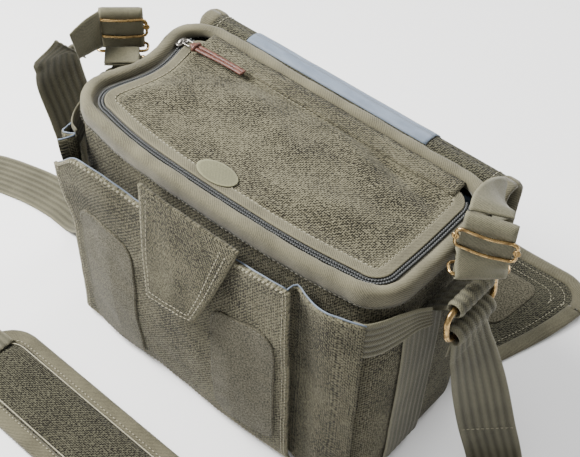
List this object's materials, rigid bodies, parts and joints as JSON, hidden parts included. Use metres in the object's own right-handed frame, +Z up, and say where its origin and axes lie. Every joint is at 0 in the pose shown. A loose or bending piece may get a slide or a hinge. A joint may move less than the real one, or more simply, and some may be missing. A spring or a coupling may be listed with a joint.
{
  "type": "camera shoulder bag",
  "caption": "Soft canvas camera shoulder bag with zipped lid, thrown-back cover flap, bellows front pocket, side rings and a padded webbing strap.",
  "frame": {"origin": "middle of the body's base, between its corners, on the surface it stands on", "axes": "+X to the right of someone facing the front pocket, along the strap laid out; +Y from the front pocket to the back; +Z up"},
  "size_m": [0.7819, 0.501, 0.3054],
  "materials": {
    "canvas": "washed cotton canvas",
    "dark_canvas": "dark coarse canvas",
    "binding_tape": "rolled woven tape",
    "webbing": "ribbed cotton webbing",
    "smooth_tape": "fine twill tape",
    "padding": "brushed lining over foam",
    "lining": "light blue nylon lining",
    "loop_fabric": "brushed hook-and-loop fabric",
    "oval_patch": "plain oval patch",
    "zip_coil": "nylon coil zip",
    "antique_brass": "antique plated wire",
    "slider_metal": "worn nickel plate",
    "pull_leather": "waxed leather lace"
  },
  "bodies": {
    "bag": {"outer_shell": "canvas", "foam_liner": "padding", "base_pad": "padding", "rim_binding": "binding_tape", "zip_tape_body": "zip_coil", "lid_hinge_tape": "binding_tape", "pocket_panel": "canvas", "pocket_gusset_left": "canvas", "pocket_gusset_right": "canvas", "loop_patch_left": "loop_fabric", "loop_patch_right": "loop_fabric", "side_webbing_left": "webbing", "side_webbing_right": "webbing", "ring_anchor_left": "webbing", "ring_anchor_right": "webbing", "corner_tab_left": "webbing", "corner_tab_right": "webbing", "rim_tab_left": "smooth_tape", "rim_tab_right": "smooth_tape", "rim_ring_left": "antique_brass", "rim_ring_right": "antique_brass", "tape_loop_left": "smooth_tape", "tape_loop_right": "smooth_tape", "tape_left": "smooth_tape", "tape_right": "smooth_tape", "strap_left": "webbing", "strap_right": "webbing", "strap_loop_right": "webbing", "shoulder_pad": "dark_canvas", "flap_seam_strip": "dark_canvas"},
    "lid": {"lid_panel": "canvas", "zip_tape_lid": "zip_coil", "lid_oval_patch": "oval_patch"},
    "zip_slider": {"zip_slider": "slider_metal"},
    "zip_pull": {"zip_pull": "pull_leather"},
    "divider_left": {"divider_left": "padding"},
    "divider_right": {"divider_right": "padding"},
    "pocket_tab": {"pocket_tab": "canvas"},
    "strap_ring_left": {"strap_ring_left": "antique_brass"},
    "strap_ring_right": {"strap_ring_right": "antique_brass"},
    "wire_slider_left": {"wire_slider_left": "antique_brass"},
    "wire_slider_right": {"wire_slider_right": "antique_brass"},
    "flap_crest": {"flap_crest": "dark_canvas"},
    "flap_top": {"flap_top": "dark_canvas"},
    "flap_front": {"flap_front": "dark_canvas"},
    "flap_end": {"flap_end": "dark_canvas", "hook_patch_left": "loop_fabric", "hook_patch_right": "loop_fabric"}
  },
  "joints": [
    {"name": "lid_hinge", "type": "hinge", "parent": "bag", "child": "lid", "pos_m": [0, 0.06215, 0.2455], "axis": [-1, 0, 0], "range_deg": [0, 100]},
    {"name": "zip_slide", "type": "slide", "parent": "lid", "child": "zip_slider", "axis": [0, -1, 0], "range_m": [0, 0.08]},
    {"name": "zip_pull_hinge", "type": "hinge", "parent": "zip_slider", "child": "zip_pull", "pos_m": [-0.14985, 0.043, 0.2466], "axis": [0, -1, 0], "range_deg": [0, 115]},
    {"name": "divider_left_slide", "type": "slide", "parent": "bag", "child": "divider_left", "axis": [1, 0, 0], "range_m": [-0.05, 0.03]},
    {"name": "divider_right_slide", "type": "slide", "parent": "bag", "child": "divider_right", "axis": [1, 0, 0], "range_m": [-0.03, 0.05]},
    {"name": "pocket_tab_hinge", "type": "hinge", "parent": "bag", "child": "pocket_tab", "pos_m": [0, -0.1027, 0.236], "axis": [-1, 0, 0], "range_deg": [0, 120]},
    {"name": "ring_left_swing", "type": "hinge", "parent": "bag", "child": "strap_ring_left", "pos_m": [-0.182, -0.005, 0.224], "axis": [0, 1, 0], "range_deg": [-10, 35]},
    {"name": "ring_right_swing", "type": "hinge", "parent": "bag", "child": "strap_ring_right", "pos_m": [0.197, -0.005, 0.224], "axis": [0, -1, 0], "range_deg": [-3, 3]},
    {"name": "slider_left_slide", "type": "slide", "parent": "bag", "child": "wire_slider_left", "axis": [0, 0, 1], "range_m": [-0.008, 0.002]},
    {"name": "slider_right_slide", "type": "slide", "parent": "bag", "child": "wire_slider_right", "axis": [0, 0, 1], "range_m": [-0.018, 0.006]},
    {"name": "flap_hinge", "type": "hinge", "parent": "bag", "child": "flap_crest", "pos_m": [0, 0.0805, 0.2525], "axis": [-1, 0, 0], "range_deg": [-180, 0]},
    {"name": "flap_top_fold", "type": "hinge", "parent": "flap_crest", "child": "flap_top", "pos_m": [0, 0.107, 0.2525], "axis": [-1, 0, 0], "range_deg": [-90, 0]},
    {"name": "flap_front_fold", "type": "hinge", "parent": "flap_top", "child": "flap_front", "pos_m": [0, 0.107, 0.0625], "axis": [-1, 0, 0], "range_deg": [-90, 0]},
    {"name": "flap_end_fold", "type": "hinge", "parent": "flap_front", "child": "flap_end", "pos_m": [0, 0.107, 0.0017], "axis": [-1, 0, 0], "range_deg": [0, 90]}
  ],
  "couplings": [
    {"joint": "flap_top_fold", "follows": "flap_hinge", "ratio": 0.5},
    {"joint": "flap_front_fold", "follows": "flap_hinge", "ratio": 0.5},
    {"joint": "flap_end_fold", "follows": "flap_hinge", "ratio": -0.5}
  ]
}
